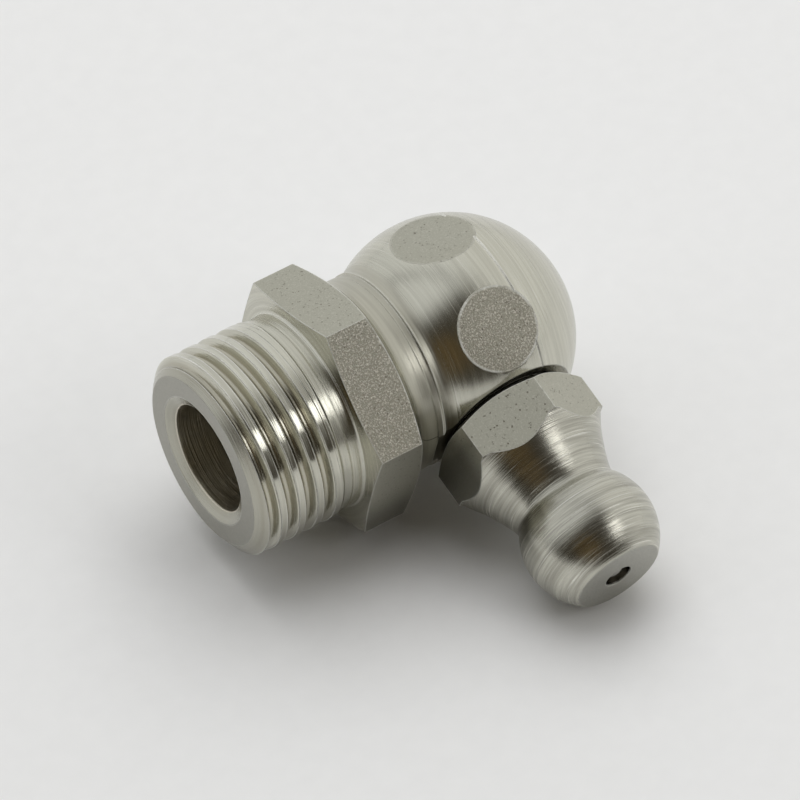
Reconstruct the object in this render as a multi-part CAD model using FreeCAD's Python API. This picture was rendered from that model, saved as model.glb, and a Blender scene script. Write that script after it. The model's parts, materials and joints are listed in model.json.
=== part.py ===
"""A 90 degree grease fitting in stainless steel: a threaded elbow turned from hexagon bar, with a
ball-headed nipple screwed into its side and a sprung check ball behind the nipple's mouth.

The pieces are drawn with the elbow's thread along X, the nipple pointing along -Y and a corner of the
elbow's hexagon straight up. They are then rolled about X until they lie as the fitting does on a table,
on one edge of the hexagon and on the nipple's head. The origin is on the thread's axis, in the plane of
the seat that the hexagon has around the thread. Millimetres, +Z up.
"""
import FreeCAD, Part
import math
import os

Vector = FreeCAD.Vector
X_AXIS, Y_AXIS, Z_AXIS = Vector(1, 0, 0), Vector(0, 1, 0), Vector(0, 0, 1)

# Elbow: M10 x 1 male thread, ending in a hexagon 11 mm across its flats
THREAD_RADIUS = 5.0
THREAD_PITCH = 1.0
THREAD_LENGTH = 5.7         # from the seat to the thread's end
THREAD_DEPTH = 0.42         # of the groove, whose crests are left broad
THREAD_ROOT = 0.13          # width of the groove's flat bottom
THREAD_FLANK = math.radians(30)         # of each side of the groove, from square to the axis
THREAD_PLAIN = 1.25         # plain shank between the last groove and the seat
PLAIN_RADIUS = 4.9
END_FACE_RADIUS = 4.27
LEAD_CHAMFER = 0.5          # its length along the thread
HEX_FLATS = 11.0
SEAT_DISH = 0.18            # how far the hexagon's corners stand back from the seat
HEX_REAR = 2.35             # where the hexagon's corner edges end
HEX_REAR_DISH = 0.33        # from there to where the flats end
NECK_RADIUS = 4.9
NECK_START, NECK_END = 3.7, 4.5
NECK_HOLLOW = (3.03, 5.1)   # a point on the hollow behind the hexagon: along the axis, radius

# Elbow: ball, with the bar's flats still showing, and the grease ways
BALL_RADIUS = 5.85
BALL_CENTRE = 8.1           # along the thread's axis
PARTING_RADIUS = 0.8        # flat where the elbow was cut from the bar
GREASE_BORE_RADIUS = 2.7
COUNTERSINK_RADIUS = 3.25
COUNTERSINK_DEPTH = 0.33
DRILL_POINT = math.radians(118)

# Nipple: M6 shank, hexagon 7 mm across its flats, 6.5 mm ball head
NIPPLE_X = 7.85             # the nipple's axis crosses the thread's axis here
NIPPLE_HEX_FLATS = 7.0
NIPPLE_HEX_TURN = math.radians(21)      # of a corner, from the elbow's own axis
SHANK_RADIUS = 3.0
SHANK_CLEARANCE = 0.02      # between the shank and its hole, all round
SHANK_END = 2.3             # distances from here on are from the thread's axis
SHANK_CHAMFER = 0.4
SPOT_FACE = 4.72            # where the ball is faced off for the nipple
SPOT_RADIUS = 3.9
COLLAR_RADIUS = 3.15
COLLAR_TOP = 4.86
HEX_INNER_CORNER, HEX_OUTER_CORNER = 5.37, 7.2
CONE_WAIST = (3.27, 8.2)    # a point on the hollow cone: radius, distance
NIPPLE_NECK = (2.6, 10.05)
HEAD_RADIUS = 3.25
HEAD_CENTRE = 12.05
NIPPLE_TIP = 14.45
MOUTH_RADIUS = 0.66
MOUTH_DEPTH = 0.4
VALVE_BORE_RADIUS = 1.25

# Check valve
CHECK_BALL_RADIUS = 1.0
SPRING_WIRE_RADIUS = 0.14
SPRING_RADIUS = 0.92        # to the middle of the wire
SPRING_PITCH = 0.95
SPRING_GAP = 0.02           # between the spring's end and the ball
RETAINER_START, RETAINER_END = 2.5, 3.1
RETAINER_HOLE_RADIUS = 0.6

# How far cutting tools reach past the metal they cut
TOOL_REACH = 1.0
GROOVE_REACH = 0.3

# How it lies: the hexagon's corner edge and the nipple's head touch the same plane
HEX_CORNER = HEX_FLATS / math.sqrt(3)
REACH = math.hypot(HEX_CORNER, HEAD_CENTRE)
LYING_ANGLE = math.degrees(math.acos(HEAD_RADIUS / REACH) - math.atan2(HEAD_CENTRE, HEX_CORNER))


def turned(outline):
    """A solid of revolution about X. The outline is a list of points (along X, radius), where three
    points in a nested list are an arc; it starts and ends on the axis."""
    def at(point):
        return Vector(point[0], point[1], 0)

    edges, last = [], None
    for item in outline:
        if isinstance(item[0], tuple):
            start, middle, end = (at(point) for point in item)
            if last is not None and last.distanceToPoint(start) > 1e-9:
                edges.append(Part.makeLine(last, start))
            edges.append(Part.Arc(start, middle, end).toShape())
            last = end
        else:
            point = at(item)
            if last is not None:
                edges.append(Part.makeLine(last, point))
            last = point
    first = edges[0].Vertexes[0].Point
    edges.append(Part.makeLine(last, first))
    return Part.Face(Part.Wire(edges)).revolve(Vector(), X_AXIS, 360)


def hexagon_bar(across_flats, start, end, turn):
    """A hexagonal prism along X, one of its corners turned from +Y towards +Z."""
    corner = across_flats / math.sqrt(3)
    angles = [turn + math.radians(60 * k) for k in range(6)]
    points = [Vector(start, corner * math.cos(a), corner * math.sin(a)) for a in angles]
    return Part.Face(Part.makePolygon(points + points[:1])).extrude(Vector(end - start, 0, 0))


def sphere_arc(centre, radius, start, end):
    """Three points of a sphere's outline, between two places along the axis."""
    def on_sphere(x):
        return (x, math.sqrt(radius ** 2 - (x - centre) ** 2))

    return [on_sphere(start), on_sphere((start + end) / 2), on_sphere(end)]


def coil(radius, pitch, height, section):
    """The section, a wire in the XZ plane at the given radius, swept up a right-hand helix about Z."""
    path = Part.Wire(Part.makeHelix(pitch, height, radius).Edges)
    return Part.Solid(path.makePipeShell([section], True, True))


def to_x(shape):
    """From a Z axis to the elbow's X axis."""
    return shape.rotated(Vector(), Y_AXIS, 90)


def to_nipple(shape):
    """From the X axis to the nipple's own, which leaves the thread's axis along -Y."""
    return shape.rotated(Vector(), Z_AXIS, -90).translated(Vector(NIPPLE_X, 0, 0))


def thread_groove():
    """The thread's helical groove, open at the lead end, as a solid to cut away."""
    half_root = THREAD_ROOT / 2
    half_mouth = half_root + (THREAD_DEPTH + GROOVE_REACH) * math.tan(THREAD_FLANK)
    root, mouth = THREAD_RADIUS - THREAD_DEPTH, THREAD_RADIUS + GROOVE_REACH
    corners = [(root, -half_root), (mouth, -half_mouth), (mouth, half_mouth), (root, half_root)]
    points = [Vector(r, 0, z) for r, z in corners]
    section = Part.makePolygon(points + points[:1])
    length = THREAD_LENGTH + THREAD_PITCH - THREAD_PLAIN
    groove = coil(THREAD_RADIUS, THREAD_PITCH, length, section)
    return to_x(groove).translated(Vector(-THREAD_LENGTH - THREAD_PITCH, 0, 0))


def grease_bore():
    """The way from the thread's end to under the nipple, with its drill point and countersink."""
    start = -THREAD_LENGTH
    end = NIPPLE_X + GREASE_BORE_RADIUS
    point = end + GREASE_BORE_RADIUS / math.tan(DRILL_POINT / 2)
    return turned([
        (start - TOOL_REACH, 0), (start - TOOL_REACH, COUNTERSINK_RADIUS), (start, COUNTERSINK_RADIUS),
        (start + COUNTERSINK_DEPTH, GREASE_BORE_RADIUS), (end, GREASE_BORE_RADIUS), (point, 0)])


def elbow_body():
    flat = HEX_FLATS / 2
    ball_start = BALL_CENTRE - math.sqrt(BALL_RADIUS ** 2 - NECK_RADIUS ** 2)
    ball_end = BALL_CENTRE + math.sqrt(BALL_RADIUS ** 2 - PARTING_RADIUS ** 2)
    flats_end = HEX_REAR + HEX_REAR_DISH
    outline = turned([
        (-THREAD_LENGTH, 0), (-THREAD_LENGTH, THREAD_RADIUS), (-THREAD_PLAIN, THREAD_RADIUS),
        (-THREAD_PLAIN + (THREAD_RADIUS - PLAIN_RADIUS), PLAIN_RADIUS), (0, PLAIN_RADIUS),
        (0, flat), (SEAT_DISH, HEX_CORNER), (HEX_REAR, HEX_CORNER),
        [(flats_end, flat), NECK_HOLLOW, (NECK_START, NECK_RADIUS)],
        (NECK_END, NECK_RADIUS),
        sphere_arc(BALL_CENTRE, BALL_RADIUS, ball_start, ball_end), (ball_end, 0)])
    bar = hexagon_bar(HEX_FLATS, -THREAD_LENGTH, ball_end, math.radians(30))
    lead = turned([
        (-THREAD_LENGTH, 0), (-THREAD_LENGTH, END_FACE_RADIUS),
        (-THREAD_LENGTH + LEAD_CHAMFER, THREAD_RADIUS), (-THREAD_LENGTH + LEAD_CHAMFER, HEX_FLATS),
        (ball_end, HEX_FLATS), (ball_end, 0)])
    spot_face = Part.makeCylinder(SPOT_RADIUS, BALL_RADIUS, Vector(NIPPLE_X, -SPOT_FACE, 0), -Y_AXIS)
    nipple_hole = Part.makeCylinder(
        SHANK_RADIUS + SHANK_CLEARANCE, SPOT_FACE + TOOL_REACH, Vector(NIPPLE_X, 0, 0), -Y_AXIS)
    body = outline.common(bar).cut(thread_groove()).common(lead)
    return body.cut(spot_face).cut(grease_bore()).cut(nipple_hole)


def grease_nipple():
    corner = NIPPLE_HEX_FLATS / math.sqrt(3)
    neck_radius, neck = NIPPLE_NECK
    waist_radius, waist = CONE_WAIST
    head_start = HEAD_CENTRE - math.sqrt(HEAD_RADIUS ** 2 - neck_radius ** 2)
    shank = SHANK_RADIUS - SHANK_CHAMFER
    outline = turned([
        (SHANK_END, 0), (SHANK_END, shank), (SHANK_END + SHANK_CHAMFER, SHANK_RADIUS),
        (SPOT_FACE, SHANK_RADIUS), (SPOT_FACE, COLLAR_RADIUS), (COLLAR_TOP, COLLAR_RADIUS),
        (HEX_INNER_CORNER, corner),
        [(HEX_OUTER_CORNER, corner), (waist, waist_radius), (neck, neck_radius)],
        sphere_arc(HEAD_CENTRE, HEAD_RADIUS, head_start, NIPPLE_TIP), (NIPPLE_TIP, 0)])
    bar = hexagon_bar(NIPPLE_HEX_FLATS, 0, NIPPLE_TIP, NIPPLE_HEX_TURN)
    seat_start = NIPPLE_TIP - MOUTH_DEPTH
    seat_end = seat_start - (VALVE_BORE_RADIUS - MOUTH_RADIUS)
    valve_way = turned([
        (SHANK_END - TOOL_REACH, 0), (SHANK_END - TOOL_REACH, VALVE_BORE_RADIUS), (seat_end, VALVE_BORE_RADIUS),
        (seat_start, MOUTH_RADIUS), (NIPPLE_TIP + TOOL_REACH, MOUTH_RADIUS), (NIPPLE_TIP + TOOL_REACH, 0)])
    return to_nipple(outline.common(bar).cut(valve_way))


def check_ball_centre():
    """Where the ball rests on the 45 degree seat behind the nipple's mouth."""
    seat_start = NIPPLE_TIP - MOUTH_DEPTH
    return seat_start + MOUTH_RADIUS - CHECK_BALL_RADIUS * math.sqrt(2)


def check_ball():
    return to_nipple(Part.makeSphere(CHECK_BALL_RADIUS, Vector(check_ball_centre(), 0, 0)))


def check_spring():
    """A coil from the retainer to the ball, its ends ground square."""
    inner_edge = SPRING_RADIUS - SPRING_WIRE_RADIUS
    end = check_ball_centre() - math.sqrt(CHECK_BALL_RADIUS ** 2 - inner_edge ** 2) - SPRING_GAP
    length = end - RETAINER_END
    circle = Part.Circle(Vector(SPRING_RADIUS, 0, 0), Y_AXIS, SPRING_WIRE_RADIUS)
    section = Part.Wire([circle.toShape()])
    wire = coil(SPRING_RADIUS, SPRING_PITCH, length + SPRING_PITCH, section)
    wire = to_x(wire).translated(Vector(RETAINER_END - SPRING_PITCH / 2, 0, 0))
    span = Part.makeCylinder(VALVE_BORE_RADIUS, length, Vector(RETAINER_END, 0, 0), X_AXIS)
    return to_nipple(wire.common(span))


def spring_retainer():
    """A ring pressed into the shank's end, with a hole for the grease."""
    length = RETAINER_END - RETAINER_START
    start = Vector(RETAINER_START, 0, 0)
    ring = Part.makeCylinder(VALVE_BORE_RADIUS, length, start, X_AXIS)
    return to_nipple(ring.cut(Part.makeCylinder(RETAINER_HOLE_RADIUS, length, start, X_AXIS)))


PIECES = {
    "elbow_body": elbow_body,
    "grease_nipple": grease_nipple,
    "check_ball": check_ball,
    "check_spring": check_spring,
    "spring_retainer": spring_retainer,
}

os.makedirs("parts", exist_ok=True)
for name, make in PIECES.items():
    piece = make().rotated(Vector(), X_AXIS, LYING_ANGLE)
    piece.exportStep(f"parts/{name}.step")
    box = piece.BoundBox
    print(f"{name:16} {len(piece.Solids)} solid, valid {piece.isValid()}, {piece.Volume:8.3f} mm3, "
          f"x {box.XMin:.2f} {box.XMax:.2f}, y {box.YMin:.2f} {box.YMax:.2f}, z {box.ZMin:.2f} {box.ZMax:.2f}")
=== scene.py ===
# %% [markdown]
# # A 90 degree grease fitting in stainless steel
# The part is a threaded elbow with a ball-headed nipple screwed into its side. Grease from a gun pushes
# a small ball off its seat in the nipple's mouth, and a spring closes it again. The CAD model gives the
# frame: every piece here is drawn at the size and place it has there, and then gets its metal.

# %% Load the frame
import json
import math
import bpy
from mathutils import Matrix, Vector


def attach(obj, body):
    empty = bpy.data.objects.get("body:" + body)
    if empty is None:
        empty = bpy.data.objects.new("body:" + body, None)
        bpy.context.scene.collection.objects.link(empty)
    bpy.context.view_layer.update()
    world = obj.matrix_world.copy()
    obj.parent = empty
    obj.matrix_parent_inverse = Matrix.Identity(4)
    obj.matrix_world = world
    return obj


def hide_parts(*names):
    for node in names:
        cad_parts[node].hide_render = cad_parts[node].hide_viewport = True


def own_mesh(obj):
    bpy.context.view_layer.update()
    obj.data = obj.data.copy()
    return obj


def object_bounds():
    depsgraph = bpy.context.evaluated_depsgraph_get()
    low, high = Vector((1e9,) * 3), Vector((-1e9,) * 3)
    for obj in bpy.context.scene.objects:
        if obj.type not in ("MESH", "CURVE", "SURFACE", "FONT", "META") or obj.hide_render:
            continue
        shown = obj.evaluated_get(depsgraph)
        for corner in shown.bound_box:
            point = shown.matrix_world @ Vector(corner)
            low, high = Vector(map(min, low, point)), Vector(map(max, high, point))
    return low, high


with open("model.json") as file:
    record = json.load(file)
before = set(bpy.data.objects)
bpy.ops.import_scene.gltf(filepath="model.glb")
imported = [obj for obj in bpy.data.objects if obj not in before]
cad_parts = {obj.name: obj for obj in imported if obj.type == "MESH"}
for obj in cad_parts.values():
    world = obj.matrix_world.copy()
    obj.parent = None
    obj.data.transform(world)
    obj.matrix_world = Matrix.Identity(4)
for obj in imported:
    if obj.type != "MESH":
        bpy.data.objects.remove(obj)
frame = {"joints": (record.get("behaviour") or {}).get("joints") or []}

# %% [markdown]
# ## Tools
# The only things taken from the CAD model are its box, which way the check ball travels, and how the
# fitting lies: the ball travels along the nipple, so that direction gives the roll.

cad_box = [list(corner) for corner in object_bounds()]
travel_joint = next(j for j in frame["joints"] if j["name"] == "check_ball_travel")
inward = Vector(travel_joint["axis"])
lying = math.atan2(inward.z, inward.y)
MM = 0.001
print("CAD box", cad_box, "the fitting lies rolled by", round(math.degrees(lying), 3), "degrees")

# %% [markdown]
# ## Camera
# A long lens from well back keeps the threads and hexagon edges nearly parallel, as in a catalogue
# picture. Its place and its three directions are set as a matrix, because that is exact.

# %% Camera
camera = bpy.data.objects.new("camera", bpy.data.cameras.new("camera"))
bpy.context.scene.collection.objects.link(camera)
camera_place = Vector((-119.421, -185.416, 242.353)) * MM
camera_right = Vector((0.828191, -0.560439, -0.002771))
camera_up = Vector((0.415605, 0.610830, 0.673913))
camera_back = camera_right.cross(camera_up).normalized()
camera.matrix_world = Matrix((
    (camera_right.x, camera_up.x, camera_back.x, camera_place.x),
    (camera_right.y, camera_up.y, camera_back.y, camera_place.y),
    (camera_right.z, camera_up.z, camera_back.z, camera_place.z),
    (0, 0, 0, 1)))
camera.data.sensor_width = 36
camera.data.lens = 36 * 7089.2 / 800
camera.data.clip_start = 0.01
camera.data.clip_end = 10
bpy.context.scene.camera = camera
print("lens", round(camera.data.lens, 1), "mm")

# %% [markdown]
# ## Shader arithmetic
# A machined surface is described by a lot of small sums: how far along, how far out, which turn of the
# thread. `Grain` wraps a node's socket so that such a sum can be written as Python, and `Finish.node`
# adds every other kind of node.

# %% One class for sums on sockets
class Grain:
    """A number or vector that changes over a surface: one output socket, with arithmetic."""

    def __init__(self, finish, socket):
        self.finish = finish
        self.socket = socket

    def sum(self, operation, *values):
        sockets = dict(enumerate(values))
        return self.finish.node("ShaderNodeMath", {"operation": operation}, sockets)

    def __add__(self, other):
        return self.sum("ADD", self, other)

    def __sub__(self, other):
        return self.sum("SUBTRACT", self, other)

    def __rsub__(self, other):
        return self.sum("SUBTRACT", other, self)

    def __mul__(self, other):
        return self.sum("MULTIPLY", self, other)

    def __truediv__(self, other):
        return self.sum("DIVIDE", self, other)

    __radd__ = __add__
    __rmul__ = __mul__

    def size(self):
        return self.sum("ABSOLUTE", self)

    def root(self):
        return self.sum("SQRT", self)

    def fraction(self):
        return self.sum("FRACT", self)

    def larger(self, other):
        return self.sum("MAXIMUM", self, other)

    def between(self, low, high, to_low=0, to_high=1):
        """Runs smoothly from to_low to to_high as the number goes from low to high."""
        return self.finish.node(
            "ShaderNodeMapRange", {"interpolation_type": "SMOOTHSTEP"},
            {"Value": self, "From Min": low, "From Max": high, "To Min": to_low, "To Max": to_high})


# %% One class for a material's nodes
class Finish:
    """A material, or the room, whose nodes are added one at a time."""

    def __init__(self, owner):
        owner.use_nodes = True
        self.owner = owner
        self.tree = owner.node_tree
        self.tree.nodes.clear()

    def node(self, kind, settings=None, sockets=None, out=0):
        """Adds a node: its settings first, then the values or links of its sockets."""
        node = self.tree.nodes.new(kind)
        for name, value in (settings or {}).items():
            setattr(node, name, value)
        for name, value in (sockets or {}).items():
            if isinstance(value, Grain):
                self.tree.links.new(value.socket, node.inputs[name])
            else:
                node.inputs[name].default_value = value
        return Grain(self, node.outputs[out])

    def noise(self, place, scale, detail=2, roughness=0.5):
        return self.node(
            "ShaderNodeTexNoise", {},
            {"Vector": place, "Scale": scale, "Detail": detail, "Roughness": roughness})

    def vector(self, x, y, z):
        return self.node("ShaderNodeCombineXYZ", {}, {"X": x, "Y": y, "Z": z})

    def blend(self, share, first, second):
        """A colour between two, by share."""
        mixed = self.node("ShaderNodeMix", {"data_type": "RGBA"}, {0: share}, out=2)
        for index, colour in ((6, first), (7, second)):
            if isinstance(colour, Grain):
                self.tree.links.new(colour.socket, mixed.socket.node.inputs[index])
            else:
                mixed.socket.node.inputs[index].default_value = (*colour, 1)
        return mixed

    def surface(self, settings, normal=None):
        """The principled shader, and the material's output."""
        sockets = dict(settings)
        if normal is not None:
            sockets["Normal"] = normal
        shader = self.node("ShaderNodeBsdfPrincipled", {}, sockets)
        self.node_end("ShaderNodeOutputMaterial", shader)
        return self.owner

    def node_end(self, kind, shader):
        output = self.tree.nodes.new(kind)
        self.tree.links.new(shader.socket, output.inputs["Surface"])


# %% [markdown]
# ## Floor and light
# Small steel parts are pictured on a sheet of pale card under soft lamps. Bare metal shows only what it
# reflects, so the room around it matters as much as the lamps: where its bright sides end, the turned
# surfaces get their streaks and dark bands.

# %% Floor
def put_down():
    bpy.ops.object.select_all(action="DESELECT")


floor_height = cad_box[0][2]
put_down()
bpy.ops.mesh.primitive_plane_add(size=3, location=(0, 0, floor_height))
floor = bpy.context.object
floor.name = "card_floor"
card = Finish(bpy.data.materials.new("pale_card"))
card_place = card.node("ShaderNodeTexCoord", {}, {}, out=3)
card_fibre = card.noise(card_place, 900, 3)
card_colour = card.blend(card_fibre, (0.80, 0.80, 0.80), (0.84, 0.84, 0.84))
floor.data.materials.append(card.surface({"Base Color": card_colour, "Roughness": 0.9}))
print("floor at", round(floor_height / MM, 3), "mm")


# %% [markdown]
# The room is painted by direction. A bright window side, a pale back wall with a darker beam across it,
# and a brown door each become a soft patch, because that is all that a rough metal shows of them.

# %% Room
def room_side(room, way, towards, low, high):
    """How much of a direction faces one side of the room, from 0 to 1."""
    facing = room.node(
        "ShaderNodeVectorMath", {"operation": "DOT_PRODUCT"},
        {0: way, 1: tuple(Vector(towards).normalized())}, out=1)
    return facing.between(low, high)


bpy.context.scene.world = bpy.data.worlds.new("studio_room")
room = Finish(bpy.context.scene.world)
way = room.node("ShaderNodeTexCoord", {}, {}, out=0)
window_side = room_side(room, way, (0.97, 0, 0.26), 0.35, 0.8)
back_wall = room_side(room, way, (-0.22, 0.84, 0.5), 0.26, 0.62)
brown_door = room_side(room, way, (-0.55, -0.67, 0.48), 0.90, 0.98)
beam_way = (0.785, 0.49, -0.379)
beam = room_side(room, way, beam_way, -0.30, -0.20) * (1 - room_side(room, way, beam_way, -0.15, -0.05))
beam = beam * room_side(room, way, (-0.15, 0.6, 0.65), 0.60, 0.78)
room_colour = room.blend(brown_door, (0.050, 0.043, 0.031), (0.115, 0.080, 0.036))
room_colour = room.blend(back_wall, room_colour, (0.80, 0.81, 0.81))
room_colour = room.blend(window_side, room_colour, (0.83, 0.83, 0.81))
room_colour = room.blend(beam * 0.55, room_colour, (0.26, 0.26, 0.25))
room.node_end("ShaderNodeOutputWorld", room.node("ShaderNodeBackground", {}, {"Color": room_colour}))
print("room has", len(room.tree.nodes), "nodes")


# %% [markdown]
# The ceiling lamp lights the card and gives the soft shadow. It is hidden from reflections, where the
# room's own colours do its work. The front lamp is small, and it draws the sharp glints on the thread.

# %% Lamps
def panel_lamp(name, place, size, power, aim=(5, -3, 0)):
    """A soft rectangular lamp, aimed at the fitting. Millimetres."""
    lamp = bpy.data.objects.new(name, bpy.data.lights.new(name, "AREA"))
    bpy.context.scene.collection.objects.link(lamp)
    lamp.data.shape = "RECTANGLE"
    lamp.data.size, lamp.data.size_y = size[0] * MM, size[1] * MM
    lamp.data.energy = power
    lamp.location = Vector(place) * MM
    away = lamp.location - Vector(aim) * MM
    lamp.rotation_euler = away.to_track_quat("Z", "Y").to_euler()
    return lamp


ceiling_lamp = panel_lamp("ceiling_lamp", (70, 120, 330), (380, 380), 0.72)
ceiling_lamp.visible_glossy = False
panel_lamp("front_lamp", (155, -250, 260), (130, 130), 0.115)
bpy.context.scene.view_settings.view_transform = "Standard"

# %% [markdown]
# ## Turning
# Nearly everything here comes off a lathe, so one helper does a lathe's work: a point is pulled out into
# the piece's outline, and the outline is spun round the X axis. The corners of the outline get small
# radii, as a real tool leaves. The pieces are drawn in millimetres with the thread along X, and are
# brought to their place at the end.

# %% Outlines
def circle_part(centre, radius, start, end, steps=6):
    """Points of a circle, between two angles in degrees."""
    angles = [math.radians(start + (end - start) * k / steps) for k in range(steps + 1)]
    return [(centre[0] + radius * math.cos(a), centre[1] + radius * math.sin(a)) for a in angles]


def eased(corners, steps=3):
    """An outline whose corners (along, out, radius) are rounded, with a point held just outside each."""
    points = []
    for i, (along, out, radius) in enumerate(corners):
        here = Vector((along, out))
        if radius == 0:
            points.append((along, out))
            continue
        to_last = (Vector(corners[i - 1][:2]) - here).normalized()
        to_next = (Vector(corners[(i + 1) % len(corners)][:2]) - here).normalized()
        half = to_last.angle(to_next) / 2
        centre = here + (to_last + to_next).normalized() * radius / math.sin(half)
        ends = [here + side * radius / math.tan(half) for side in (to_last, to_next)]
        spokes = [end - centre for end in ends]
        first = math.atan2(spokes[0].y, spokes[0].x)
        sweep = (math.atan2(spokes[1].y, spokes[1].x) - first + math.pi) % (2 * math.pi) - math.pi
        points.append(tuple(ends[0] + to_last * min(radius / 2, 0.03)))
        points += circle_part(centre, radius, math.degrees(first), math.degrees(first + sweep), steps)
        points.append(tuple(ends[1] + to_next * min(radius / 2, 0.03)))
    return points


def ball_part(centre, radius, start, end, steps):
    """Points of a ball's outline, between two places along the axis, for eased()."""
    from_angle = math.degrees(math.acos((start - centre) / radius))
    to_angle = math.degrees(math.acos((end - centre) / radius))
    points = circle_part((centre, 0), radius, from_angle, to_angle, steps)
    return [(along, max(out, 0), 0) for along, out in points]


def hollow_part(first, pull, last, steps):
    """Points of a hollow curve from first to last, drawn towards pull, for eased()."""
    points = []
    for k in range(steps + 1):
        t = k / steps
        near, middle, far = (1 - t) ** 2, 2 * t * (1 - t), t * t
        points.append((near * first[0] + middle * pull[0] + far * last[0],
                       near * first[1] + middle * pull[1] + far * last[1], 0))
    return points


# %% The lathe
def pull_line(name, points):
    """A new object whose one point is pulled along the outline, left in edit mode."""
    put_down()
    bpy.ops.mesh.primitive_plane_add(size=1)
    piece = bpy.context.object
    piece.name = name
    bpy.ops.object.mode_set(mode="EDIT")
    bpy.ops.mesh.select_all(action="SELECT")
    bpy.ops.mesh.merge(type="CENTER")
    bpy.ops.transform.translate(value=(points[0][0], points[0][1], 0))
    for (a, b), (c, d) in zip(points, points[1:]):
        bpy.ops.mesh.extrude_vertices_move(TRANSFORM_OT_translate={"value": (c - a, d - b, 0)})
    return piece


def turned(name, points, steps=192):
    """A solid turned about the X axis from an outline that is closed or ends on the axis."""
    piece = pull_line(name, points)
    bpy.ops.mesh.select_all(action="SELECT")
    bpy.ops.mesh.spin(steps=steps, angle=2 * math.pi, center=(0, 0, 0), axis=(1, 0, 0))
    bpy.ops.mesh.select_all(action="SELECT")
    bpy.ops.mesh.remove_doubles(threshold=0.0005)
    bpy.ops.mesh.normals_make_consistent(inside=False)
    bpy.ops.object.mode_set(mode="OBJECT")
    return piece


def hexagon_bar(name, across_flats, start, end, turn):
    """A hexagonal bar along X. turn is the angle of a corner from +Y towards +Z, in degrees."""
    put_down()
    bpy.ops.mesh.primitive_cylinder_add(
        vertices=6, radius=across_flats / math.sqrt(3), depth=end - start,
        location=((start + end) / 2, 0, 0), rotation=(0, math.pi / 2, 0))
    bar = bpy.context.object
    bar.name = name
    bpy.ops.object.transform_apply(location=True, rotation=True, scale=True)
    corner = bar.data.vertices[0].co
    now = math.degrees(math.atan2(corner.z, corner.y))
    bar.rotation_euler = (math.radians(turn - now), 0, 0)
    bpy.ops.object.transform_apply(location=True, rotation=True, scale=True)
    return bar


def machine(piece, operation, tool):
    """Cuts the piece with the tool, or keeps what the two share, and clears the tool away."""
    put_down()
    piece.select_set(True)
    bpy.context.view_layer.objects.active = piece
    step = piece.modifiers.new("cut", "BOOLEAN")
    step.operation = operation
    step.solver = "EXACT"
    step.object = tool
    bpy.ops.object.modifier_apply(modifier=step.name)
    bpy.data.objects.remove(tool)
    return piece


def face_outwards(piece):
    """Turns a closed piece's faces outwards, which its signed volume tells, and clears edges of no length."""
    corners = [[piece.data.vertices[i].co for i in p.vertices] for p in piece.data.polygons]
    volume = sum(c[0].dot(a.cross(b)) for c in corners for a, b in zip(c[1:], c[2:])) / 6
    put_down()
    piece.select_set(True)
    bpy.context.view_layer.objects.active = piece
    bpy.ops.object.mode_set(mode="EDIT")
    bpy.ops.mesh.select_all(action="SELECT")
    if volume < 0:
        bpy.ops.mesh.flip_normals()
    bpy.ops.mesh.dissolve_degenerate(threshold=0.0004)
    bpy.ops.object.mode_set(mode="OBJECT")
    print(piece.name, "holds", round(abs(volume), 2), "cubic millimetres")


def report(piece):
    faces = sum(len(p.vertices) - 2 for p in piece.data.polygons)
    xs = [v.co for v in piece.data.vertices]
    low = [round(min(v[i] for v in xs), 3) for i in range(3)]
    high = [round(max(v[i] for v in xs), 3) for i in range(3)]
    print(piece.name, faces, "triangles, from", low, "to", high)


# %% [markdown]
# ## The elbow's blank
# The elbow starts as a length of hexagonal bar. Turning it leaves the thread's shank, a seat, a neck and
# a ball, and the bar's own flats stay wherever the lathe tool didn't reach: on the hexagon, and as small
# round flats on the ball. So the blank is the turned outline and the bar, each kept where both are.

# %% Elbow outline
THREAD_END, CREST_RADIUS, SHANK_RADIUS = -5.7, 5.0, 4.9
HEX_FLATS, HEX_REAR, FLATS_END = 11.0, 2.35, 2.68
BALL_CENTRE, BALL_RADIUS = 8.1, 5.85
STOCK = 6.7
ball_start = BALL_CENTRE - math.sqrt(BALL_RADIUS ** 2 - SHANK_RADIUS ** 2)
scribe, scribe_depth = BALL_CENTRE + 1.5, 0.035
parting = BALL_CENTRE + math.sqrt(BALL_RADIUS ** 2 - 0.8 ** 2)
scribe_radius = math.sqrt(BALL_RADIUS ** 2 - 1.5 ** 2)
elbow_outline = eased(
    [(THREAD_END, 0, 0), (THREAD_END, 4.27, 0.07), (-5.2, CREST_RADIUS, 0.06),
     (-1.25, CREST_RADIUS, 0.04), (-1.13, SHANK_RADIUS, 0.06), (-0.7, 4.88, 0.05),
     (-0.62, 4.86, 0.03), (0, 4.87, 0.16), (0, 5.5, 0.1),
     (0.245, STOCK, 0), (HEX_REAR - 0.135, STOCK, 0)]
    + hollow_part((FLATS_END, 5.5), (2.93, 4.93), (3.68, 4.89), 8)
    + [(4.05, 4.88, 0.05), (4.12, 4.83, 0.05), (4.40, 4.83, 0.03), (4.47, 4.93, 0.03),
       (4.55, SHANK_RADIUS, 0.04), (ball_start, SHANK_RADIUS, 0.6)]
    + ball_part(BALL_CENTRE, BALL_RADIUS, ball_start + 0.55, scribe - 0.05, 40)
    + [(scribe, scribe_radius - scribe_depth, 0)]
    + ball_part(BALL_CENTRE, BALL_RADIUS, scribe + 0.05, parting, 34)
    + [(parting, 0, 0)])
elbow = turned("elbow", elbow_outline)
elbow = machine(elbow, "INTERSECT", hexagon_bar("bar", HEX_FLATS, -7, 15, 30))
report(elbow)

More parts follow.
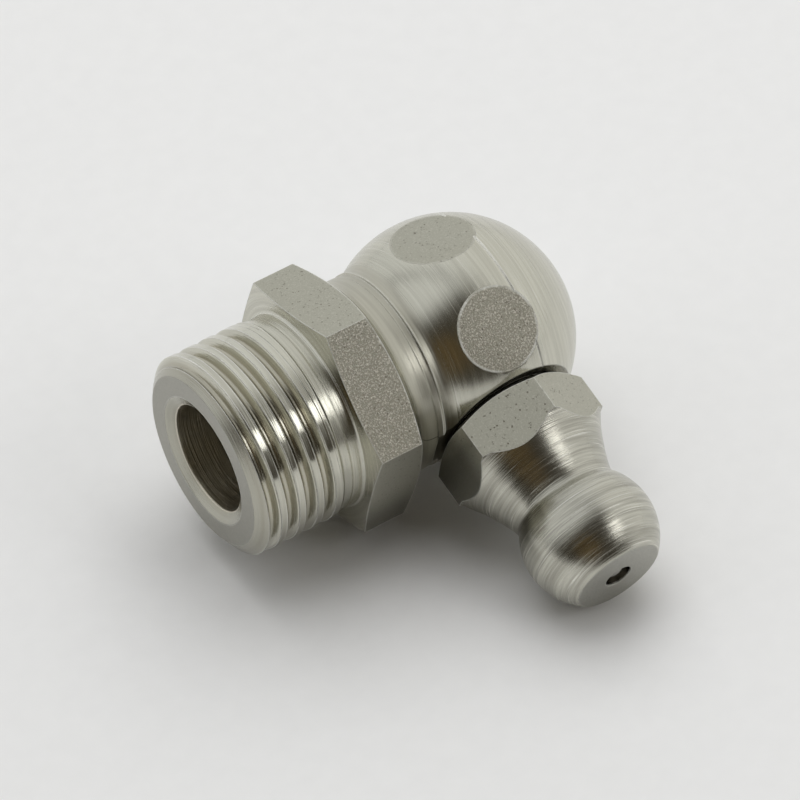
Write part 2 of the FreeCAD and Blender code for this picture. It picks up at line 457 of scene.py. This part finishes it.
# %% [markdown]
# ## The thread
# The groove of the thread is one tool mark that winds round the shank. Its section is drawn once, wound
# by the Screw modifier and taken away from the shank, as the threading tool did. Its last quarter turn
# climbs out of the metal, and the crests between the turns stay broad.

# %% Groove
PITCH, GROOVE_DEPTH = 1.0, 0.42
GROOVE_START, GROOVE_TURNS = -6.45, 5.2


def thread_groove():
    half_section = [(0.41, CREST_RADIUS + 0.09, 0), (0.27, CREST_RADIUS - 0.07, 0.06),
                    (0.10, CREST_RADIUS - GROOVE_DEPTH, 0.11)]
    section = eased(
        [(GROOVE_START - half, out, radius) for half, out, radius in half_section]
        + [(GROOVE_START + half, out, radius) for half, out, radius in reversed(half_section)])
    tool = pull_line("groove_tool", section)
    bpy.ops.mesh.select_all(action="SELECT")
    bpy.ops.mesh.edge_face_add()
    bpy.ops.mesh.delete(type="ONLY_FACE")
    bpy.ops.object.mode_set(mode="OBJECT")
    step = tool.modifiers.new("wind", "SCREW")
    step.axis = "X"
    step.angle = 2 * math.pi * GROOVE_TURNS
    step.screw_offset = PITCH * GROOVE_TURNS
    step.steps = step.render_steps = round(120 * GROOVE_TURNS)
    step.use_smooth_shade = False
    bpy.ops.object.modifier_apply(modifier=step.name)
    turn_end = GROOVE_START + PITCH * GROOVE_TURNS
    for vertex in tool.data.vertices:
        angle = math.atan2(vertex.co.z, vertex.co.y) / (2 * math.pi)
        turns = (vertex.co.x - GROOVE_START) / PITCH
        left = GROOVE_TURNS - (angle + round(turns - angle))
        climb = max(0, 1 - left / 0.3) * (GROOVE_DEPTH + 0.05)
        out = math.hypot(vertex.co.y, vertex.co.z)
        vertex.co.y *= (out + climb) / out
        vertex.co.z *= (out + climb) / out
    bpy.ops.object.mode_set(mode="EDIT")
    bpy.ops.mesh.select_all(action="DESELECT")
    bpy.ops.mesh.select_mode(type="EDGE")
    bpy.ops.mesh.select_non_manifold()
    bpy.ops.mesh.fill_holes(sides=0)
    bpy.ops.mesh.select_all(action="SELECT")
    bpy.ops.mesh.normals_make_consistent(inside=False)
    bpy.ops.mesh.select_mode(type="VERT")
    bpy.ops.object.mode_set(mode="OBJECT")
    return tool


elbow = machine(elbow, "DIFFERENCE", thread_groove())
report(elbow)

# %% [markdown]
# The thread has been knocked: three crests in a row have a small dent where something hard slid along
# them. Each dent is a pointed, flattened tool pressed a tenth of a millimetre or two into its crest.

# %% Dents in the crests
DENTS = [(-4.35, 54.0, 0.34, 0.20), (-3.35, 50.0, 0.30, 0.17), (-2.30, 48.5, 0.26, 0.15),
         (-3.85, 51.5, 0.12, 0.08), (-1.95, 118.0, 0.16, 0.07)]
for place, angle, length, depth in DENTS:
    put_down()
    bpy.ops.mesh.primitive_cone_add(vertices=7, radius1=length, radius2=0, depth=0.5)
    tool = bpy.context.object
    bpy.ops.object.mode_set(mode="EDIT")
    bpy.ops.mesh.select_all(action="SELECT")
    bpy.ops.transform.resize(value=(1, 0.45, 1))
    bpy.ops.mesh.bevel(offset=length * 0.12, segments=2)
    bpy.ops.object.mode_set(mode="OBJECT")
    round_thread = Matrix.Rotation(math.radians(angle), 4, "X") @ Matrix.Rotation(math.radians(12), 4, "Z")
    pointed_in = Matrix.Rotation(math.pi / 2, 4, "X") @ Matrix.Rotation(math.radians(20), 4, "X")
    to_crest = Matrix.Translation((0, CREST_RADIUS + 0.25 - depth, 0))
    tool.matrix_world = Matrix.Translation((place, 0, 0)) @ round_thread @ to_crest @ pointed_in
    bpy.ops.object.transform_apply(location=True, rotation=True, scale=True)
    elbow = machine(elbow, "DIFFERENCE", tool)
report(elbow)

# %% [markdown]
# ## The grease way and the nipple's seat
# Grease runs from the thread's end along a drilled bore, and out through a second hole at right angles
# that takes the nipple's shank. Each hole is a turned tool, so a drill point and a countersink come with
# it. The ball is faced flat round the second hole.

# %% Drilling the elbow
NIPPLE_X, SPOT_FACE = 7.85, 4.72
BORE_RADIUS = 2.7


def to_nipple(piece):
    """From the X axis to the nipple's own axis."""
    put_down()
    piece.select_set(True)
    bpy.context.view_layer.objects.active = piece
    piece.rotation_euler = (0, 0, -math.pi / 2)
    piece.location = (NIPPLE_X, 0, 0)
    bpy.ops.object.transform_apply(location=True, rotation=True, scale=True)
    return piece


bore_end = NIPPLE_X + BORE_RADIUS
bore_drill = turned("bore_drill", eased([
    (-7, 0, 0), (-7, 3.3, 0), (THREAD_END - 0.02, 3.3, 0), (THREAD_END + 0.31, BORE_RADIUS, 0.05),
    (bore_end, BORE_RADIUS, 0), (bore_end + BORE_RADIUS / math.tan(math.radians(59)), 0, 0)]), 96)
elbow = machine(elbow, "DIFFERENCE", bore_drill)
facing_cutter = turned("facing_cutter", [(SPOT_FACE, 0), (SPOT_FACE, 3.9), (8, 3.9), (8, 0)], 128)
elbow = machine(elbow, "DIFFERENCE", to_nipple(facing_cutter))
nipple_drill = turned("nipple_drill", [(0, 0), (0, 3.02), (6, 3.02), (6, 0)], 96)
elbow = machine(elbow, "DIFFERENCE", to_nipple(nipple_drill))
report(elbow)

# %% [markdown]
# ## The nipple
# The nipple is turned from smaller hexagonal bar, in one outline from its shank to its mouth, with the
# valve's bore as the inside of the same outline. Its head is a ball cut flat at the tip, which the jaws
# of a grease gun grip.

# %% Nipple
NIPPLE_FLATS, NIPPLE_TURN = 7.0, 21
HEAD_CENTRE, HEAD_RADIUS, TIP = 12.05, 3.25, 14.45
STOCK_RADIUS = 4.25
head_start = HEAD_CENTRE - math.sqrt(HEAD_RADIUS ** 2 - 2.62 ** 2)
tip_radius = math.sqrt(HEAD_RADIUS ** 2 - (TIP - HEAD_CENTRE) ** 2)
nipple_outline = eased(
    [(2.3, 1.25, 0), (2.3, 2.6, 0.05), (2.7, 3.0, 0.05), (4.4, 3.0, 0), (4.5, 2.7, 0),
     (4.84, 2.7, 0), (4.86, 3.15, 0), (5.5, STOCK_RADIUS, 0), (7.14, STOCK_RADIUS, 0), (7.2, 3.86, 0.03)]
    + [(7.45, 3.69, 0), (7.69, 3.54, 0), (7.94, 3.405, 0), (8.19, 3.285, 0), (8.43, 3.17, 0),
       (8.68, 3.065, 0), (8.93, 2.955, 0), (9.18, 2.86, 0), (9.42, 2.77, 0), (9.67, 2.69, 0),
       (9.9, 2.64, 0), (head_start, 2.62, 0.35)]
    + ball_part(HEAD_CENTRE, HEAD_RADIUS, head_start + 0.3, TIP - 0.04, 44)
    + [(TIP, tip_radius - 0.03, 0.02), (TIP, 0.70, 0.03), (TIP - 0.05, 0.66, 0.02), (TIP - 0.4, 0.66, 0),
       (TIP - 0.99, 1.25, 0), (2.3, 1.25, 0)])
nipple = turned("nipple", nipple_outline, 160)
nipple = machine(nipple, "INTERSECT", hexagon_bar("bar", NIPPLE_FLATS, 0, 16, NIPPLE_TURN))
nipple = to_nipple(nipple)
report(nipple)

# %% [markdown]
# ## The valve
# Behind the mouth a ball sits on a 45 degree seat. A coil spring holds it there, and a ring pressed into
# the shank's end holds the spring. The ring and ball are turned, and the spring's wire is wound like the
# thread was, then ground square at both ends with a bisect.

# %% Check ball and retainer
CHECK_RADIUS, RING_START, RING_END = 1.0, 2.5, 3.1
check_centre = TIP - 0.4 + 0.66 - CHECK_RADIUS * math.sqrt(2)
check_ball = turned("valve_ball", [
    (along, out) for along, out, _ in ball_part(
        check_centre, CHECK_RADIUS, check_centre - CHECK_RADIUS, check_centre + CHECK_RADIUS, 40)], 64)
check_ball = to_nipple(check_ball)
ring_outline = eased([
    (RING_START, 0.6, 0.04), (RING_START, 1.25, 0.06), (RING_END, 1.25, 0.06), (RING_END, 0.6, 0.04)])
ring = turned("retainer_ring", ring_outline + ring_outline[:1], 96)
ring = to_nipple(ring)
report(check_ball)
report(ring)

# %% Spring
WIRE_RADIUS, COIL_RADIUS, COIL_PITCH = 0.14, 0.92, 0.95
spring_end = check_centre - math.sqrt(CHECK_RADIUS ** 2 - (COIL_RADIUS - WIRE_RADIUS) ** 2) - 0.02
spring_length = spring_end - RING_END


def wound_spring():
    wire_start = RING_END - COIL_PITCH / 2
    section = circle_part((wire_start, COIL_RADIUS), WIRE_RADIUS, 0, 330, 11)
    spring = pull_line("valve_spring", section)
    bpy.ops.mesh.select_all(action="SELECT")
    bpy.ops.mesh.edge_face_add()
    bpy.ops.mesh.delete(type="ONLY_FACE")
    bpy.ops.object.mode_set(mode="OBJECT")
    turns = spring_length / COIL_PITCH + 1
    step = spring.modifiers.new("wind", "SCREW")
    step.axis = "X"
    step.angle = 2 * math.pi * turns
    step.screw_offset = COIL_PITCH * turns
    step.steps = step.render_steps = round(40 * turns)
    step.use_smooth_shade = False
    bpy.ops.object.modifier_apply(modifier=step.name)
    bpy.ops.object.mode_set(mode="EDIT")
    for place, side in ((RING_END, -1), (spring_end, 1)):
        bpy.ops.mesh.select_all(action="SELECT")
        bpy.ops.mesh.bisect(plane_co=(place, 0, 0), plane_no=(side, 0, 0), use_fill=True, clear_outer=True)
    bpy.ops.mesh.select_all(action="SELECT")
    bpy.ops.mesh.remove_doubles(threshold=0.0005)
    bpy.ops.mesh.quads_convert_to_tris()
    bpy.ops.mesh.normals_make_consistent(inside=False)
    bpy.ops.object.mode_set(mode="OBJECT")
    return spring


spring = to_nipple(wound_spring())
report(spring)

# %% [markdown]
# ## Into place
# A cut can leave faces of no width, and a wound tube can come out inside out, so each piece is cleaned
# and its signed volume is checked first. It is then smoothed wherever its faces meet at a low angle,
# rolled about the thread's axis to the way the fitting lies, and brought from millimetres to metres.

# %% Into place
pieces = [elbow, nipple, check_ball, spring, ring]
for piece in pieces:
    face_outwards(piece)
    put_down()
    piece.select_set(True)
    bpy.context.view_layer.objects.active = piece
    bpy.ops.object.shade_smooth_by_angle(angle=math.radians(24))
    piece.rotation_euler = (lying, 0, 0)
    piece.scale = (MM, MM, MM)
    bpy.ops.object.transform_apply(location=True, rotation=True, scale=True)

# %% [markdown]
# ## Turned stainless steel
# The lathe tool leaves fine rings round the axis, so light smears along the piece and not round it. The
# rings could be cut as geometry, but they are only microns deep, so a noise that is stretched round the
# axis and squeezed along it does the work as a bump. Everything about the finish depends on where a
# point is on the piece: how far along the axis, how far out, and on which side.

# %% Where a point is on the piece
def piece_place(finish, turn_z, shift):
    """Along the axis, across it two ways, and out from it, in millimetres."""
    spot = finish.node("ShaderNodeTexCoord", {}, {}, out=3)
    spot = finish.node(
        "ShaderNodeMapping", {"vector_type": "POINT"},
        {"Vector": spot, "Scale": (1 / MM, 1 / MM, 1 / MM), "Rotation": (-lying, 0, turn_z),
         "Location": (0, -shift, 0)})
    split = finish.node("ShaderNodeSeparateXYZ", {}, {"Vector": spot})
    outputs = split.socket.node.outputs
    along, side, up = (Grain(finish, outputs[k]) for k in range(3))
    out = (side * side + up * up).root()
    return spot, along, side, up, out


class Skin:
    """One piece's surface as it is built up: its colour, its height in millimetres, and its roughness."""

    def __init__(self, name, turn_z, shift):
        self.finish = Finish(bpy.data.materials.new(name))
        self.spot, self.along, self.side, self.up, self.out = piece_place(self.finish, turn_z, shift)
        self.grit = self.finish.noise(self.spot, 12, 3, 0.7)
        self.dust = self.finish.noise(self.spot, 22, 1)

    def tint(self, share, colour):
        self.steel = self.finish.blend(share, self.steel, colour)

    def lay(self, share, steel, height, rough):
        """Another finish over this one, where share is 1."""
        self.tint(share, steel)
        for name, value in (("height", height), ("rough", rough)):
            mixed = self.finish.node(
                "ShaderNodeMix", {"data_type": "FLOAT"}, {0: share, 2: getattr(self, name), 3: value})
            setattr(self, name, mixed)


# %% Turning marks
def ringed_noise(skin, density, turns, detail):
    """Noise drawn out round the axis: density rings to a millimetre, each broken up round the piece."""
    place = skin.finish.vector(skin.along * density, skin.out * density, skin.side / skin.out * turns)
    return skin.finish.node(
        "ShaderNodeTexNoise", {"noise_dimensions": "4D"},
        {"Vector": place, "W": skin.up / skin.out * turns, "Scale": 1.0, "Detail": detail,
         "Roughness": 0.6})


def turning_marks(skin, fine_depth, ring_depth, dark, light, scratched, rough):
    fine = ringed_noise(skin, 17, 0.9, 2)
    skin.rings = ringed_noise(skin, 6.5, 0.6, 3)
    broad = ringed_noise(skin, 1.3, 0.8, 2)
    score = fine.between(0.58, 0.70)
    skin.height = fine * fine_depth + skin.rings * ring_depth + broad * 0.008 - score * 0.004
    skin.steel = skin.finish.blend(skin.rings.between(0.35, 0.65), dark, light)
    skin.tint(score * scratched, (0.90, 0.89, 0.83))
    skin.rough = fine * 0.12 + skin.rings * 0.12 + rough


# %% [markdown]
# ## Marks that only the elbow or the nipple has
# Threading leaves a fine burr on both shoulders of each groove, a small ridge in the bump, and its bright
# colour is a painted highlight. The crests between them are smoother than the rest, and the groove's
# bottom is painted browner and darker, as painted shade. The bore is left rough by its drill, and its wall
# is painted lighter and browner, as painted light bounced into it. The neck, the countersink, the elbow's
# face under the nipple, the collar under the nipple's hexagon and the nipple's mouth are painted darker,
# as painted shade in these hollows.

# %% Marks on the elbow
def elbow_marks(skin):
    along, side, up, out = skin.along, skin.side, skin.up, skin.out
    round_axis = skin.finish.node("ShaderNodeMath", {"operation": "ARCTAN2"}, {0: up, 1: side})
    turn_of_thread = (along - GROOVE_START) / PITCH - round_axis / (2 * math.pi)
    from_groove = 0.5 - (turn_of_thread.fraction() - 0.5).size()
    crests = along.between(-5.35, -5.25) * along.between(-1.5, -1.3, 1, 0) * out.between(4.9, 4.97)
    # Painted highlight: the burrs' near-white colour stands for their glint; the small ridge in the bump is
    # the real burr.
    burr = (from_groove - 0.335).size().between(0.0, 0.03, 1, 0) * crests
    # Painted shade: the groove's bottom is painted darker and browner.
    groove = along.between(-5.6, -5.4) * along.between(-1.4, -1.2, 1, 0) * out.between(4.60, 4.90, 1, 0)
    polished = along.between(-5.5, -5.3) * along.between(-1.3, -1.0, 1, 0)
    # Painted light: the bore's wall is painted lighter and browner for light bounced into it; its extra
    # roughness and bump are the drill's.
    in_bore = out.between(2.70, 2.78, 1, 0) * along.between(5.0, 5.5, 1, 0)
    # Painted shade in the countersink: a darker colour.
    countersink = along.between(-5.30, -5.20, 1, 0) * out.between(2.72, 2.80)
    # Painted shade in the hollow of the neck: a darker, browner colour.
    neck = along.between(2.9, 3.1) * along.between(4.9, 5.3, 1, 0)
    # Painted shadow on the elbow's faced seat, in the gap under the nipple.
    seat_painted_shadow = side.between(-4.73, -4.715) * side.between(-4.715, -4.70, 1, 0) * along.between(3.0, 3.2)
    for share, colour in (
            (burr * 0.6, (0.85, 0.84, 0.80)), (groove * 0.35, (0.33, 0.29, 0.20)),
            (in_bore * 0.8, (0.66, 0.61, 0.50)), (countersink * 0.55, (0.34, 0.33, 0.28)),
            (neck * 0.35, (0.32, 0.30, 0.24)), (seat_painted_shadow, (0.20, 0.19, 0.15))):
        skin.tint(share, colour)
    skin.height = skin.height + burr * 0.02 + in_bore * skin.rings * 0.03 - polished * skin.rings * 0.005
    skin.rough = skin.rough + in_bore * 0.2 + neck * 0.10 - polished * 0.09


# %% Marks on the nipple
def nipple_marks(skin):
    # Painted shade on the collar under the hexagon, which sits in the gap over the elbow's seat.
    collar = skin.along.between(4.80, 4.87, 1, 0)
    # Painted shade: the mouth's inner wall is painted near black.
    mouth = skin.out.between(0.66, 0.71, 1, 0)
    skin.tint(collar, (0.38, 0.37, 0.31))
    skin.tint(mouth, (0.10, 0.09, 0.07))


def faced_end(skin, where, dark, light):
    """The end of a piece, which a tool faced square: smoother, greyer, and slightly mottled."""
    steel = skin.finish.blend(skin.grit.between(0.2, 0.8), dark, light)
    skin.lay(where, steel, skin.rings * 0.003 + skin.dust * 0.002, skin.grit * 0.1 + 0.28)


# %% [markdown]
# ## The bar's own flats
# Hexagon bar comes drawn, and the lathe tool never met its flats: they keep a skin with small dark pits,
# and on one side a coarse, sandy one that glints grain by grain. Which points are on a flat is read from
# how far out they are towards the nearest of the six. A bump and a change of colour are used together,
# because a bump alone fades when the fitting is seen from far away. The flats that face down, and the
# nipple's flat beside the thread, are tinted darker than bare steel: the lamps alone leave them too pale.

# %% The bar's flats
def flat_reach(side, up, turn):
    """How far out the point is towards the nearest of the bar's flats."""
    reach = None
    for k in range(3):
        angle = math.radians(turn + 30 + 60 * k)
        this = (side * math.cos(angle) + up * math.sin(angle)).size()
        reach = this if reach is None else reach.larger(this)
    return reach


def bar_flats(skin, flats, turn, sandy_side, underside, darkest):
    """Lays the bar's skin on the flats: the sandy one on the flat that faces sandy_side degrees. The flats
    are painted darker, as painted shade, where underside falls towards darkest."""
    skin.on_flat = flat_reach(skin.side, skin.up, turn).between(flats / 2 - 0.02, flats / 2 - 0.006)
    angle = math.radians(sandy_side)
    sandy = skin.side * math.cos(angle) + skin.up * math.sin(angle)
    skin.sandy = sandy.between(flats / 2 - 0.02, flats / 2 - 0.006)
    pits = skin.finish.node("ShaderNodeTexVoronoi", {"feature": "F1"}, {"Vector": skin.spot, "Scale": 3.2})
    pit = (pits.between(0.06, 0.20, 1, 0) * skin.dust.between(0.30, 0.50)).larger(
        skin.finish.noise(skin.spot, 7, 3, 0.7).between(0.64, 0.68))
    glints = skin.grit.between(0.52, 0.60) * (skin.sandy * 0.85 + 0.15)
    steel = skin.finish.blend(glints, (0.45, 0.44, 0.37), (0.95, 0.93, 0.85))
    steel = skin.finish.blend(skin.sandy * 0.35, steel, (0.36, 0.32, 0.25))
    # Painted shade: darker towards the low end of underside, on the flats that face down and the nipple's
    # flat beside the thread.
    steel = skin.finish.blend(underside.between(darkest, 0.3, 0.72, 0.0), steel, (0.15, 0.145, 0.12))
    steel = skin.finish.blend(pit * 0.75, steel, (0.15, 0.13, 0.10))
    height = skin.grit * (skin.sandy * 0.062 + 0.005) + skin.dust * skin.sandy * 0.015 - pit * 0.015
    skin.lay(skin.on_flat, steel, height, skin.grit * 0.2 + 0.30)


# %% [markdown]
# ## Edge highlights
# The Bevel node bends the normal close to an edge, so the angle between the bent normal and the plain one
# tells where the edges are. The same bent normal rounds them in the light. Along them the steel is painted
# near white and less metallic, a painted highlight for the glint of each edge's small radius. The rims of
# the elbow's flats meet the ball at too low an angle for that, so they get their painted highlight from
# their place.

# %% Painted edge highlights, and the finished material
# Painted highlight on the rims of the elbow's flats, uneven and strongest on the sandy side.
def elbow_rim_highlights(skin):
    along, out = skin.along, skin.out
    from_centre = ((along - BALL_CENTRE) * (along - BALL_CENTRE) + out * out).root()
    ball_rim = from_centre.between(5.815, 5.835) * along.between(4.0, 4.5)
    rear_rim = (along + out * 0.388).between(4.745, 4.775) * along.between(3.0, 3.5, 1, 0)
    uneven = skin.finish.noise(skin.spot, 0.8, 2).between(0.30, 0.62)
    return ball_rim.larger(rear_rim) * uneven * skin.on_flat * (skin.sandy * 0.65 + 0.15)


def finished(skin, rims=None):
    bent = skin.finish.node("ShaderNodeBevel", {"samples": 4}, {"Radius": 0.075 * MM})
    plain = skin.finish.node("ShaderNodeNewGeometry", {}, {}, out=1)
    agree = skin.finish.node("ShaderNodeVectorMath", {"operation": "DOT_PRODUCT"}, {0: bent, 1: plain}, out=1)
    edge_highlight = agree.between(0.93, 0.995, 1, 0)
    if rims is not None:
        edge_highlight = edge_highlight.larger(rims)
    # Painted highlight along every edge: a near-white, less metallic colour.
    skin.tint(edge_highlight * 0.8, (0.86, 0.86, 0.82))
    bump = skin.finish.node(
        "ShaderNodeBump", {}, {"Strength": 1, "Distance": MM, "Height": skin.height, "Normal": bent})
    return skin.finish.surface(
        {"Base Color": skin.steel, "Metallic": 1 - edge_highlight * 0.85, "Roughness": skin.rough}, normal=bump)


# %% Steel for the elbow
skin = Skin("turned_stainless", 0, 0)
turning_marks(skin, 0.009, 0.009, (0.53, 0.52, 0.45), (0.62, 0.61, 0.53), 0.35, 0.11)
elbow_marks(skin)
faced_end(skin, skin.along.between(-5.69, -5.68, 1, 0), (0.31, 0.305, 0.27), (0.40, 0.39, 0.345))
bar_flats(skin, HEX_FLATS, 30, 120, skin.up, -2.8)
elbow.data.materials.append(finished(skin, elbow_rim_highlights(skin)))
print("elbow's steel has", len(skin.finish.tree.nodes), "nodes")

# %% Steel for the nipple
skin = Skin("nipple_stainless", math.pi / 2, NIPPLE_X)
turning_marks(skin, 0.013, 0.014, (0.38, 0.37, 0.32), (0.58, 0.57, 0.50), 0.65, 0.13)
nipple_marks(skin)
faced_end(skin, skin.along.between(TIP - 0.02, TIP - 0.01), (0.34, 0.335, 0.30), (0.47, 0.465, 0.42))
bar_flats(skin, NIPPLE_FLATS, NIPPLE_TURN, 300, skin.up + skin.side * 0.8, -2.0)
nipple.data.materials.append(finished(skin))
print("nipple's steel has", len(skin.finish.tree.nodes), "nodes")

# %% [markdown]
# ## The ball, the spring and the ring
# These three are bought in. A bearing ball is lapped, spring wire is drawn, and the ring is stamped, so
# they share one plain recipe: a slight cloudiness in colour, roughness and bump, at a scale that suits
# each. They lie behind the mouth, where little light reaches.

# %% Small valve pieces
def plain_steel(name, colour, grain_scale):
    finish = Finish(bpy.data.materials.new(name))
    spot = piece_place(finish, math.pi / 2, NIPPLE_X)[0]
    grain = finish.noise(spot, grain_scale, 3)
    bump = finish.node("ShaderNodeBump", {}, {"Strength": 0.4, "Distance": 0.01 * MM, "Height": grain})
    darker = tuple(0.75 * c for c in colour)
    return finish.surface(
        {"Base Color": finish.blend(grain, colour, darker), "Metallic": 1.0,
         "Roughness": grain * 0.2 + 0.12}, normal=bump)


check_ball.data.materials.append(plain_steel("ball_bearing_steel", (0.40, 0.39, 0.36), 6))
spring.data.materials.append(plain_steel("spring_wire", (0.5, 0.49, 0.46), 9))
ring.data.materials.append(plain_steel("ring_stainless", (0.6, 0.59, 0.56), 5))
print("materials", [piece.data.materials[0].name for piece in pieces])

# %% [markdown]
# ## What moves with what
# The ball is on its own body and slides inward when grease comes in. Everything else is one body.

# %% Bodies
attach(elbow, "fitting")
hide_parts("elbow_body")
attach(nipple, "fitting")
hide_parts("grease_nipple")
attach(check_ball, "check_ball")
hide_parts("check_ball")
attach(spring, "fitting")
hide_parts("check_spring")
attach(ring, "fitting")
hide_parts("spring_retainer")
(spring_length - 1) / spring_length
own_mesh(spring)
